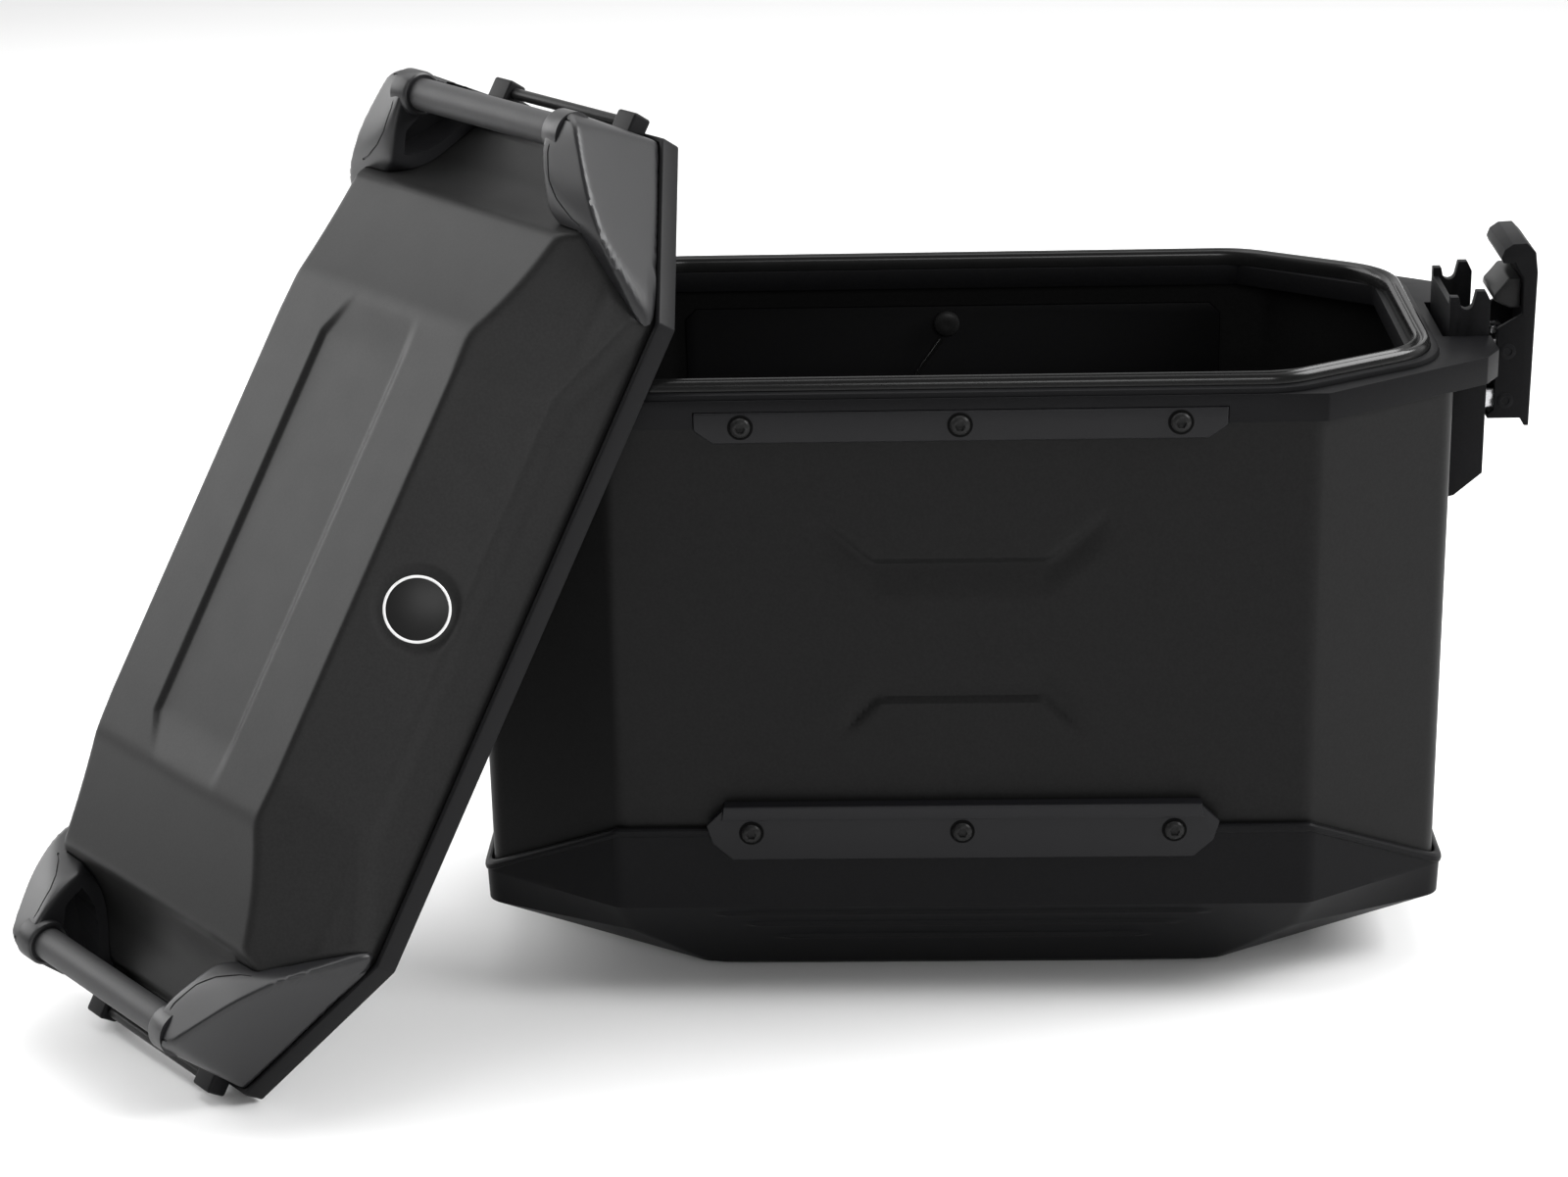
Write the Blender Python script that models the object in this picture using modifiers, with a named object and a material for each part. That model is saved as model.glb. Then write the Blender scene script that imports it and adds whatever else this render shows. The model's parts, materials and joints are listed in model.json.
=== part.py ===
"""Motorcycle side case with a lift-off lid, two link latches and lashing bars on the lid.

Frame: metres, +Z up, the case stands on z = 0, centred on x = y = 0, its outer face toward -Y.
The lid stands beside the case, leaning over its left front corner, with both latches open.
"""
import math

import bmesh
import bpy
from mathutils import Euler, Matrix, Vector

MM = 0.001
GAP = 0.3               # clearance between pieces that touch
SIDES = (1, -1)         # right and left end of the case

# Case body: octagon plan as (front half length, half depth, half width, side half length)
BODY = (173.0, 125.5, 245.0, 79.0)
BODY_TOP = 312.0
BODY_FOOT = 57.0
BODY_WALL = 2.0
CORNER_RADIUS = 14.0
CORNER_STEPS = 3
STRAIGHT = 1.56         # half angle above which a corner lies on a straight side

# Bottom shell
SHELL = (175.0, 129.0, 249.0, 80.5)
SHELL_WALL = 3.0
SHELL_FRONT_TOP = 98.0
SHELL_SIDE_TOP = 57.0
SHELL_BEND = 54.0
KNEE = (170.0, 114.3, 249.0, 78.0)
TOE = (132.0, 91.0, 146.0, 81.0)
FOOT = (78.0, 84.0, 88.0, 77.0)

# Collar, seal and the end platforms
COLLAR = (177.0, 127.5, 262.0, 70.0)
COLLAR_END = (269.5, 57.0)
COLLAR_BOTTOM = 309.0
COLLAR_TOP = 323.0
OPENING = (156.0, 112.8, 224.0, 66.0)
SEAL_OUTER = (158.7, 121.8, 235.4, 74.8)
SEAL_TOP = 331.0

# Plate on the back: half length, lower and upper edge, and how far back its face stands
RACK_PLATE = (115.0, 135.0, 245.0)
RACK_FACE = 131.3

CORD_STEP = 6.5         # spacing of the points along the lid cord

# Front plates and screws
SCREW_PITCH = 106.3
SCREW_RADIUS = 4.9
UPPER_SCREW_Z = 309.7
STRIP_TOP = 317.0
STRIP_PROUD = 0.5
PLATE_THICK = 3.0
LOWER_SCREW_Z = 96.8

# Latch: the lever keeps upright while two pairs of links swing it in and down by 109 degrees
LINK = 14.2
BASE_X = 265.6
UPPER_PIVOT_Z = 312.0
LOWER_PIVOT_Z = 286.0
PIN_RADIUS = 2.4
HOUSING_HALF = 32.0
CHANNEL_HALF = 26.5
BLOCK_HALF = 8.0
LEVER_HALF = 23.7
LEVER_WALL = 3.0
LINK_IN = 16.3
LINK_OUT = 19.7

# Lid, in its own frame: z = 0 is its lower edge, x runs along it
LID_EDGE = (168.0, 125.0, 255.5, 72.5)
LID_RECESS_HALF = 44.0
LID_RECESS_X = 241.0
SKIRT_TOP = 11.7
FLANGE_THICK = 2.0
LID_WALL = 2.2
LID_TOP = 75.2
CHANNEL_DEPTH = 1.6
BAR_X = 234.8
BAR_Z = 60.6
BAR_RADIUS = 8.2
BAR_HALF = 59.2
KEEPER_X = 256.7
KEEPER_Z = 17.0
KEEPER_RADIUS = 3.0
KEEPER_HALF = 43.7
LUG = (239.0, 262.0, 44.0, 58.9, 11.4, 22.4)    # low and high x, y and z of the lugs that hold the pins
BADGE_RADIUS = 16.3
BADGE_RISE = 20.2       # up the front slope from its foot
BADGE_X = -4.0
SLOPE_FOOT = (113.5, -107.5, 37.1)
SLOPE_HEAD = (104.8, -76.8, 74.2)
LID_PLACE = Vector((-289.4, -85.9, 216.3)) * MM
LID_TURN = Euler((0.028, -0.999, 0.719), "XYZ")


def clear_scene():
    """Remove everything that a new file starts with."""
    for thing in list(bpy.data.objects):
        bpy.data.objects.remove(thing, do_unlink=True)


def collection(name):
    """Make a collection in the scene and return it."""
    made = bpy.data.collections.new(name)
    bpy.context.scene.collection.children.link(made)
    return made


clear_scene()
PARTS = collection("motorcycle_side_case")
CUTTERS = collection("cutters")


def finish(name, colour, metal, rough):
    """Return a Principled material."""
    made = bpy.data.materials.new(name)
    made.use_nodes = True
    shader = made.node_tree.nodes["Principled BSDF"]
    shader.inputs["Base Color"].default_value = (*colour, 1.0)
    shader.inputs["Metallic"].default_value = metal
    shader.inputs["Roughness"].default_value = rough
    return made


def new_object(name, mesh_builder, look, home=PARTS):
    """Turn a bmesh into an object in the given collection, with outward faces."""
    bmesh.ops.recalc_face_normals(mesh_builder, faces=mesh_builder.faces)
    mesh = bpy.data.meshes.new(name)
    mesh_builder.to_mesh(mesh)
    mesh_builder.free()
    made = bpy.data.objects.new(name, mesh)
    home.objects.link(made)
    if home is CUTTERS:
        made.hide_render = True
        made.display_type = "WIRE"
    else:
        mesh.materials.append(finish(name, *look))
    return made


def octagon(plan, grow=0.0):
    """Eight corners of an octagonal plan, moved outward by grow along every side."""
    front, depth, width, side = plan
    run, drop = width - front, depth - side
    slope = math.hypot(run, drop)
    nx, ny = drop / slope, run / slope
    reach = front * nx + depth * ny + grow
    depth += grow
    width += grow
    front = (reach - depth * ny) / nx
    side = (reach - width * nx) / ny
    quarter = [(front, depth), (width, side)]
    right_back = quarter
    right_front = [(x, -y) for x, y in reversed(quarter)]
    left_front = [(-x, -y) for x, y in quarter]
    left_back = [(-x, y) for x, y in reversed(quarter)]
    return right_back + right_front + left_front + left_back


def rounded(corners, radius, steps):
    """Round every corner of an outline with an arc of the given steps."""
    out = []
    count = len(corners)
    for i, corner in enumerate(corners):
        here = Vector(corner)
        back = (Vector(corners[i - 1]) - here).normalized()
        ahead = (Vector(corners[(i + 1) % count]) - here).normalized()
        half = math.acos(max(-1.0, min(1.0, back.dot(ahead)))) / 2
        if half > STRAIGHT:
            out += [tuple(here + ahead * (2.0 * k / steps - 1.0)) for k in range(steps + 1)]
            continue
        reach = radius / math.tan(half)
        centre = here + (back + ahead).normalized() * (radius / math.sin(half))
        start = here + back * reach - centre
        end = here + ahead * reach - centre
        turn = start.angle_signed(end)
        for k in range(steps + 1):
            arm = start.copy()
            arm.rotate(Matrix.Rotation(-turn * k / steps, 2))
            out.append(tuple(centre + arm))
    return out


def plan_ring(plan, z, radius=CORNER_RADIUS, grow=0.0):
    """A rounded octagon at one height, as points in millimetres."""
    return [(x, y, z) for x, y in rounded(octagon(plan, grow), radius, CORNER_STEPS)]


def loft(name, rings, look, closed_loop=False, home=PARTS):
    """Skin rings with equal point counts; cap the ends unless the rings form a closed loop."""
    made = bmesh.new()
    rows = [[made.verts.new(Vector(p) * MM) for p in ring] for ring in rings]
    pairs = list(zip(rows, rows[1:]))
    if closed_loop:
        pairs.append((rows[-1], rows[0]))
    for low, high in pairs:
        for i in range(len(low)):
            j = (i + 1) % len(low)
            made.faces.new((low[i], low[j], high[j], high[i]))
    if not closed_loop:
        made.faces.new(rows[0])
        made.faces.new(rows[-1])
    return new_object(name, made, look, home)


def prism(name, outline, start, end, axis, look, home=PARTS):
    """Extrude an outline between two places on an axis; outline pairs are the other two axes."""
    def place(pair, at):
        return {"x": (at, *pair), "y": (pair[0], at, pair[1]), "z": (*pair, at)}[axis]
    return loft(name, [[place(p, at) for p in outline] for at in (start, end)], look, home=home)


def box(name, low, high, look=None, home=PARTS):
    """An axis-aligned box between two corners."""
    outline = [(low[0], low[1]), (high[0], low[1]), (high[0], high[1]), (low[0], high[1])]
    return prism(name, outline, low[2], high[2], "z", look, home=home)


def rod(name, centre, radius, start, end, axis, look, sides=20, home=PARTS):
    """A round bar along one axis; centre is its place on the other two axes."""
    ring = circle(centre, radius, sides)
    return prism(name, ring, start, end, axis, look, home=home)


def circle(centre, radius, sides, start=0.0, turn=360.0):
    """Points of a full circle, or of an arc when turn is less than 360 degrees."""
    full = abs(turn) >= 360.0
    count = sides if full else sides + 1
    angles = [math.radians(start + turn * k / sides) for k in range(count)]
    return [(centre[0] + radius * math.cos(a), centre[1] + radius * math.sin(a)) for a in angles]


def cut(target, cutters, kind="DIFFERENCE"):
    """Subtract or add other objects with exact Booleans."""
    for cutter in cutters:
        step = target.modifiers.new(cutter.name, "BOOLEAN")
        step.object = cutter
        step.operation = kind
        step.solver = "EXACT"
    return target


def soften(target, width, segments=1, angle=40.0):
    """Break the sharp edges."""
    step = target.modifiers.new("edge", "BEVEL")
    step.width = width * MM
    step.segments = segments
    step.limit_method = "ANGLE"
    step.angle_limit = math.radians(angle)
    return target


BLACK_COAT = ((0.022, 0.022, 0.023), 0.3, 0.55)
BLACK_PLASTIC = ((0.02, 0.02, 0.021), 0.0, 0.5)
SATIN_PLASTIC = ((0.035, 0.035, 0.037), 0.0, 0.42)
RUBBER = ((0.012, 0.012, 0.012), 0.0, 0.35)
DARK_BAR = ((0.06, 0.06, 0.063), 0.6, 0.4)
STEEL = ((0.55, 0.55, 0.56), 1.0, 0.3)
SCREW_BLACK = ((0.03, 0.03, 0.03), 0.7, 0.4)
WHITE = ((0.75, 0.75, 0.75), 0.0, 0.4)


def body_shell():
    """The folded sheet wall of the case, which stands in the bottom pan and carries the collar."""
    rings = [plan_ring(BODY, BODY_FOOT), plan_ring(BODY, BODY_TOP), plan_ring(BODY, BODY_TOP, grow=-BODY_WALL),
             plan_ring(BODY, BODY_FOOT, grow=-BODY_WALL)]
    wall = loft("body_shell", rings, BLACK_COAT, closed_loop=True)
    face = -BODY[1]
    upper = [(-75, 268), (-44, 238), (42, 238), (74, 268), (40, 233), (-42, 233)]
    lower = [(-57, 142), (-40, 165), (42, 165), (62, 142), (46, 170), (-44, 170)]
    marks = [prism(name, line, face - 1, face + 0.8, "y", None, home=CUTTERS)
             for name, line in (("relief_upper", upper), ("relief_lower", lower))]
    return cut(wall, marks)


def bottom_shell():
    """The moulded pan round the foot of the case, higher at front and back than at the ends."""
    def rim(grow):
        run = SHELL[2] - SHELL[0]
        drop = SHELL_FRONT_TOP - SHELL_SIDE_TOP
        out = []
        for x, y, _ in plan_ring(SHELL, 0.0, grow=grow):
            share = max(0.0, min(1.0, (abs(x) - SHELL[0]) / run))
            out.append((x, y, SHELL_FRONT_TOP - drop * share))
        return out

    wall = SHELL_WALL
    outer = [plan_ring(FOOT, 0.0, radius=4.0), plan_ring(TOE, 4.0), plan_ring(KNEE, 34.7),
             plan_ring(SHELL, SHELL_BEND), rim(0.0)]
    inner = [rim(-wall), plan_ring(SHELL, SHELL_BEND, grow=-wall), plan_ring(KNEE, 37.5, grow=-wall),
             plan_ring(TOE, 7.2, grow=-wall), plan_ring(FOOT, 3.0, radius=4.0, grow=-wall)]
    return loft("bottom_shell", outer + inner, BLACK_PLASTIC)


def rack_plate():
    """The plate on the back wall whose flat face meets the motorcycle's rack."""
    half, low, high = RACK_PLATE
    cut_off = 12.0
    upper = [(half, high - cut_off), (half - cut_off, high), (cut_off - half, high), (-half, high - cut_off)]
    lower = [(-half, low + cut_off), (cut_off - half, low), (half - cut_off, low), (half, low + cut_off)]
    plate = prism("rack_plate", upper + lower, BODY[1] + GAP, RACK_FACE, "y", BLACK_PLASTIC)
    return soften(plate, 1.2, 2)


def lower_plate():
    """The front plate over the joint of pan and body, with a raised upper lip."""
    front = -SHELL[1] - GAP
    outline = [(-116, 82), (-126, 91), (-129, 101), (-120, 110), (120, 110), (129, 101), (126, 91), (116, 82)]
    plate = prism("lower_plate", outline, front - PLATE_THICK, front, "y", SATIN_PLASTIC)
    lip = prism("lower_plate_lip", [(-121, 104), (-120, 111.5), (120, 111.5), (121, 104)],
                front - PLATE_THICK - 1.2, -BODY[1] - GAP, "y", None, home=CUTTERS)
    return cut(plate, [lip], "UNION")


def upper_strip():
    """The strip let into the collar's front face that carries the upper screws."""
    back = -BODY[1] - GAP
    outline = [(-120, 301.5), (-129, 308), (-129, STRIP_TOP), (129, STRIP_TOP), (129, 308), (120, 301.5)]
    return soften(prism("upper_strip", outline, -COLLAR[1] - STRIP_PROUD, back, "y", SATIN_PLASTIC), 0.5)


def screw(name, x, z, front):
    """A button head with a six-sided socket."""
    head = rod(name, (x, z), SCREW_RADIUS, front - 2.4, front, "y", SCREW_BLACK, sides=24)
    socket = rod(name + "_socket", (x, z), 2.2, front - 3.0, front - 1.0, "y", None, sides=6, home=CUTTERS)
    return cut(head, [socket])


def screws():
    """Three screws in each front plate."""
    upper_front = -COLLAR[1] - STRIP_PROUD - GAP
    lower_front = -SHELL[1] - GAP - PLATE_THICK - GAP
    for row, z, front in (("upper", UPPER_SCREW_Z, upper_front), ("lower", LOWER_SCREW_Z, lower_front)):
        for number, step in enumerate((-1, 0, 1), start=1):
            screw(f"{row}_screw_{number}", step * SCREW_PITCH, z, front)


def collar_outline(plan, end_x, end_y):
    """Twelve corners: the octagon with its end corners clipped."""
    front, depth, width, side = plan
    quarter = [(front, depth), (width, side), (end_x, end_y)]
    right_front = [(x, -y) for x, y in reversed(quarter)]
    left = [(-x, -y) for x, y in quarter] + [(-x, y) for x, y in reversed(quarter)]
    return quarter + right_front + left


def rim_collar():
    """The frame over the body's edge, with a platform at each end for the latches."""
    outer = rounded(collar_outline(COLLAR, *COLLAR_END), 3.0, 2)
    front, depth, width, side = BODY
    clear = 2 * GAP
    seat = (front + GAP, depth + clear, width + clear, side + GAP)
    body = rounded(collar_outline(seat, width + clear, side - 12.0), 3.0, 2)
    inner = rounded(collar_outline(OPENING, OPENING[2], OPENING[3] - 12.0), 3.0, 2)
    lift = BODY_TOP + GAP
    levels = [(outer, COLLAR_BOTTOM), (outer, COLLAR_TOP), (inner, COLLAR_TOP), (inner, lift), (body, lift),
              (body, COLLAR_BOTTOM)]
    collar = loft("rim_collar", [[(x, y, z) for x, y in line] for line, z in levels], BLACK_PLASTIC,
                  closed_loop=True)
    room = HOUSING_HALF + GAP
    slots = [box(f"collar_slot_{s}", (min(s * 245.6 - GAP * s, s * 280), -room, 300),
                 (max(s * 245.6 - GAP * s, s * 280), room, 330), home=CUTTERS) for s in SIDES]
    pocket = box("strip_pocket", (-129 - GAP, -150, 290), (129 + GAP, -BODY[1] - GAP, STRIP_TOP + GAP),
                 home=CUTTERS)
    return cut(collar, slots + [pocket])


def rim_seal():
    """A double-lipped rubber seal round the opening."""
    base = COLLAR_TOP + GAP
    levels = [(0.0, base), (0.0, SEAL_TOP - 1.5), (-1.5, SEAL_TOP), (-3.0, SEAL_TOP - 1.8), (-5.0, SEAL_TOP - 1.8),
              (-6.5, SEAL_TOP), (-8.2, SEAL_TOP - 1.5), (-8.2, base)]
    rings = [plan_ring(SEAL_OUTER, z, radius=10.0, grow=grow) for grow, z in levels]
    return loft("rim_seal", rings, RUBBER, closed_loop=True)


def inner_liner():
    """The flat plate on the inside of the back wall."""
    back = BODY[1] - BODY_WALL - GAP
    outline = [(-148, 62), (148, 62), (148, 294), (142, 300), (-142, 300), (-148, 294)]
    return prism("inner_liner", outline, back - 2.0, back, "y", BLACK_PLASTIC)


def smooth_route(route, step):
    """Points about a step apart on a smooth curve through the route's own points."""
    knots = [Vector(place) for place in route]
    knots = [2 * knots[0] - knots[1], *knots, 2 * knots[-1] - knots[-2]]
    out = []
    for a, b, c, d in zip(knots, knots[1:], knots[2:], knots[3:]):
        count = max(1, round((c - b).length / step))
        for k in range(count):
            t = k / count
            bend = (2 * a - 5 * b + 4 * c - d) * t * t + (3 * b - a - 3 * c + d) * t ** 3
            out.append((2 * b + (c - a) * t + bend) / 2)
    return [*out, knots[-2]]


def cord_parts():
    """The knob on the back wall, the lid cord that hangs from it and its end ring."""
    back = BODY[1] - BODY_WALL - GAP - 2.0 - GAP
    knob = soften(rod("cord_knob", (-3, 291), 7.0, back - 7.0, back, "y", SCREW_BLACK, sides=24), 1.5, 2)
    y = back - 5.0
    route = [(-6, y, 282.5), (-12, y, 274), (-20, y, 262), (-29, y - 1, 240), (-36, y - 2, 200), (-40, y - 4, 150),
             (-42, y - 8, 100), (-40, y - 16, 70)]
    curve = bpy.data.curves.new("lid_cord", "CURVE")
    curve.dimensions = "3D"
    curve.bevel_depth = 1.25 * MM
    curve.bevel_resolution = 2
    curve.use_fill_caps = True
    line = curve.splines.new("POLY")
    places = smooth_route(route, CORD_STEP)
    line.points.add(len(places) - 1)
    for point, place in zip(line.points, places):
        point.co = (*(place * MM), 1.0)
    cord = bpy.data.objects.new("lid_cord", curve)
    curve.materials.append(finish("lid_cord", *RUBBER))
    PARTS.objects.link(cord)
    end = Vector(route[-1])
    ring = rod("cord_end", (end.x, end.y), 3.0, end.z - 12.0, end.z - GAP, "z", STEEL, sides=16)
    return knob, cord, ring


def latch_names(side):
    """Suffix for a node at the right or left end."""
    return "right" if side > 0 else "left"


def mirror_outline(points, side):
    """Flip an x-z outline to the left end when side is -1."""
    return [(side * x, z) for x, z in points]


def latch_housing(side):
    """The cast channel on the end wall whose side walls rise into two notched prongs."""
    name = latch_names(side)
    notch = circle((KEEPER_X, COLLAR_TOP + KEEPER_Z), KEEPER_RADIUS + 0.4, 8, start=0.0, turn=-180.0)
    outline = [(245.6, 236), (254.5, 238), (268.5, 250), (268.5, 341), (266.0, 346), (261.4, 346)]
    outline += notch + [(252.6, 343), (248.5, 343), (248.5, 309), (245.6, 308)]
    block = prism(f"latch_housing_{name}", mirror_outline(outline, side), -HOUSING_HALF, HOUSING_HALF, "y",
                  BLACK_PLASTIC)

    def slot(label, x_low, y_low, y_high, z_low, z_high):
        ends = sorted((side * x_low, side * 290.0))
        return box(f"{label}_{name}", (ends[0], y_low, z_low), (ends[1], y_high, z_high), home=CUTTERS)

    cuts = [slot("channel_front", 251.5, -CHANNEL_HALF, -BLOCK_HALF, 258, 330),
            slot("channel_back", 251.5, BLOCK_HALF, CHANNEL_HALF, 258, 330),
            slot("throat", 251.5, -CHANNEL_HALF, CHANNEL_HALF, 317.5, 360),
            slot("under_block", 251.5, -CHANNEL_HALF, CHANNEL_HALF, 258, 279.5),
            slot("rail_top", 240.0, -CHANNEL_HALF, CHANNEL_HALF, 338.5, 360)]
    return cut(block, cuts)


def base_pins(side):
    """Two steel pins through the housing's middle block."""
    name = latch_names(side)
    housing = bpy.data.objects[f"latch_housing_{name}"]
    for row, z in (("upper", UPPER_PIVOT_Z), ("lower", LOWER_PIVOT_Z)):
        hole = rod(f"{row}_pin_hole_{name}", (side * BASE_X, z), PIN_RADIUS + GAP, -BLOCK_HALF - 1, BLOCK_HALF + 1,
                   "y", None, sides=16, home=CUTTERS)
        cut(housing, [hole])
        rod(f"{row}_base_pin_{name}", (side * BASE_X, z), PIN_RADIUS, -LINK_OUT, LINK_OUT, "y", STEEL)


def link_outline(side, z):
    """A plate with round ends about the base pin and the lever pin."""
    eye = 4.6
    base = circle((0, 0), eye, 8, start=90, turn=180)
    tip = circle((LINK, 0), eye, 8, start=-90, turn=180)
    return [(side * (BASE_X + x), z + up) for x, up in base + tip]


def links(side):
    """Upper and lower link plates, one at each side of the block."""
    name = latch_names(side)
    for row, z in (("upper", UPPER_PIVOT_Z), ("lower", LOWER_PIVOT_Z)):
        for face, sign in (("front", -1), ("back", 1)):
            ends = sorted((sign * LINK_IN, sign * LINK_OUT))
            plate = prism(f"{row}_link_{face}_{name}", link_outline(side, z), ends[0], ends[1], "y", STEEL)
            holes = [rod(f"{row}_{face}_{hole}_{name}", (side * x, z), PIN_RADIUS + GAP, ends[0] - 1, ends[1] + 1,
                         "y", None, sides=20, home=CUTTERS) for hole, x in (("eye", BASE_X), ("tip", BASE_X + LINK))]
            cut(plate, holes)


def lever(side):
    """The channel-shaped lever with its hooked lip, the claw in it and its four short pins."""
    name = latch_names(side)
    outline = [(274, 324), (274, 281), (271, 278.5), (271, 276.5), (288, 276.5), (290, 272.5), (292.3, 272.5),
               (292.8, 318), (293, 353), (291.6, 363.5), (287, 368.3), (280, 368), (275.8, 365), (274.4, 361),
               (275.6, 358), (281.2, 358.6), (286, 350), (286.4, 331.5)]
    shell = prism(f"lever_{name}", mirror_outline(outline, side), -LEVER_HALF, LEVER_HALF, "y", BLACK_PLASTIC)
    inside = LEVER_HALF - LEVER_WALL
    ends = sorted((side * 260.0, side * 289.5))
    hollow = box(f"lever_hollow_{name}", (ends[0], -inside, 279.5), (ends[1], inside, 332.4), home=CUTTERS)
    cut(shell, [hollow])
    claw_line = [(286.0, 349), (279.5, 349), (276.5, 345), (272.6, 340.5), (272.6, 337), (281, 333), (286.0, 333)]
    prism(f"lever_claw_{name}", mirror_outline(claw_line, side), -18, 18, "y", SCREW_BLACK)
    for row, z in (("upper", UPPER_PIVOT_Z), ("lower", LOWER_PIVOT_Z)):
        for face, sign in (("front", -1), ("back", 1)):
            ends = sorted((sign * (LINK_IN - 0.6), sign * (inside - GAP)))
            rod(f"{row}_lever_pin_{face}_{name}", (side * (BASE_X + LINK), z), PIN_RADIUS, ends[0], ends[1], "y",
                STEEL)


def latch_spring(side):
    """A torsion spring round the upper base pin."""
    name = latch_names(side)
    turns, per_turn, wire, radius = 4, 14, 0.7, 3.7
    start, pitch = -15.2, 1.55
    curve = bpy.data.curves.new(f"latch_spring_{name}", "CURVE")
    curve.dimensions = "3D"
    curve.bevel_depth = wire * MM
    curve.bevel_resolution = 1
    curve.use_fill_caps = True
    line = curve.splines.new("POLY")
    count = turns * per_turn + 1
    line.points.add(count - 1)
    for k, point in enumerate(line.points):
        angle = 2 * math.pi * k / per_turn
        place = Vector((side * (BASE_X + radius * math.cos(angle)), start + pitch * k / per_turn,
                        UPPER_PIVOT_Z + radius * math.sin(angle)))
        point.co = (*(place * MM), 1.0)
    spring = bpy.data.objects.new(f"latch_spring_{name}", curve)
    curve.materials.append(finish(f"latch_spring_{name}", *STEEL))
    PARTS.objects.link(spring)
    return spring


def lid_rings(grow):
    """The lid's outer skin as rings from its lower edge to the crown's shallow channel."""
    def ring(points, out):
        quarter = [(x + out, y + out, z) for x, y, z in points]
        front = [(x, -y, z) for x, y, z in quarter]
        back = list(reversed(quarter))
        left_back = [(-x, y, z) for x, y, z in quarter]
        left_front = [(-x, -y, z) for x, y, z in back]
        return front + back + left_back + left_front

    base = SKIRT_TOP + GAP
    sunk = LID_TOP - CHANNEL_DEPTH
    skin = [[(113.5, 119.3, base), (166.4, 119.3, base), (200, 99.1, base), (236.5, 77, base)],
            [(113.5, 108.4, 33), (163.7, 116.5, 24), (200, 97, 27), (234.5, 74, 18.5)],
            [(110, 96, 51), (158, 104, 44), (199, 92, 42), (202, 62, 35.5)],
            [(104.8, 76.8, 74.2), (150, 84.4, 66), (188, 91, 57), (188, 60, 57)],
            [(102, 74, LID_TOP), (103, 73.5, LID_TOP), (104, 73, LID_TOP), (104.5, 72, LID_TOP)],
            [(97, 38, LID_TOP), (99, 37.5, LID_TOP), (100, 36, LID_TOP), (101, 34, LID_TOP)],
            [(95, 35.5, sunk), (97, 35, sunk), (98, 34, sunk), (98.5, 32, sunk)]]
    return [ring([(x, y, z + (grow if level else 0.0)) for x, y, z in line], grow)
            for level, line in enumerate(skin)]


def even_split(made):
    """Split the quads along their shorter diagonal, so both skins of a wall bend along the same lines."""
    mesh = bmesh.new()
    mesh.from_mesh(made.data)
    bmesh.ops.triangulate(mesh, faces=mesh.faces, quad_method="SHORT_EDGE")
    mesh.to_mesh(made.data)
    mesh.free()
    return made


def on_lid(made):
    """Put a lid piece where the lid stands."""
    made.matrix_world = Matrix.Translation(LID_PLACE) @ LID_TURN.to_matrix().to_4x4()
    return made


def lid_shell():
    """The formed lid: outer skin and the same skin moved inward."""
    outer = lid_rings(0.0)
    inner = lid_rings(-LID_WALL)
    inner[0] = [(x, y, outer[0][0][2]) for x, y, _ in inner[0]]
    return even_split(loft("lid_shell", list(reversed(inner)) + outer, BLACK_COAT))


def lid_skirt():
    """The moulded edge frame, open at the middle of each end for the latch."""
    front, depth, width, side = LID_EDGE
    half = LID_RECESS_HALF
    outer = [(front, depth), (width, side), (width, half), (LID_RECESS_X, half)]
    inner = [(front - 7.0, depth - 2.7), (236.6, 76.6), (236.6, half + 4), (236.6, half - 2)]
    flange = [(front - 2.7, depth - 9.5), (233.0, 74.9), (233.0, half + 4), (233.0, half - 2)]
    flange_low = SKIRT_TOP - FLANGE_THICK

    def around(quarter):
        front_half = [(x, -y) for x, y in reversed(quarter)]
        return quarter + front_half + [(-x, -y) for x, y in quarter] + [(-x, y) for x, y in reversed(quarter)]

    levels = [(outer, 0.0), (outer, SKIRT_TOP), (flange, SKIRT_TOP), (flange, flange_low), (inner, flange_low),
              (inner, 0.0)]
    skirt = loft("lid_skirt", [[(x, y, z) for x, y in around(line)] for line, z in levels], SATIN_PLASTIC,
                 closed_loop=True)
    x_low, x_high, y_low, y_high, z_low, z_high = LUG
    lugs = []
    for sx in SIDES:
        for sy in SIDES:
            low = (min(sx * x_low, sx * x_high), min(sy * y_low, sy * y_high), z_low)
            high = (max(sx * x_low, sx * x_high), max(sy * y_low, sy * y_high), z_high)
            lugs.append(on_lid(box(f"keeper_lug_{sx}_{sy}", low, high, home=CUTTERS)))
    return cut(skirt, lugs, "UNION")


def hull(name, points, look, home=PARTS):
    """The convex solid round a set of points."""
    made = bmesh.new()
    for p in points:
        made.verts.new(Vector(p) * MM)
    out = bmesh.ops.convex_hull(made, input=made.verts)
    spare = [g for g in out["geom_interior"] + out["geom_unused"] if isinstance(g, bmesh.types.BMVert)]
    bmesh.ops.delete(made, geom=list(set(spare)), context="VERTS")
    return new_object(name, made, look, home)


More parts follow.
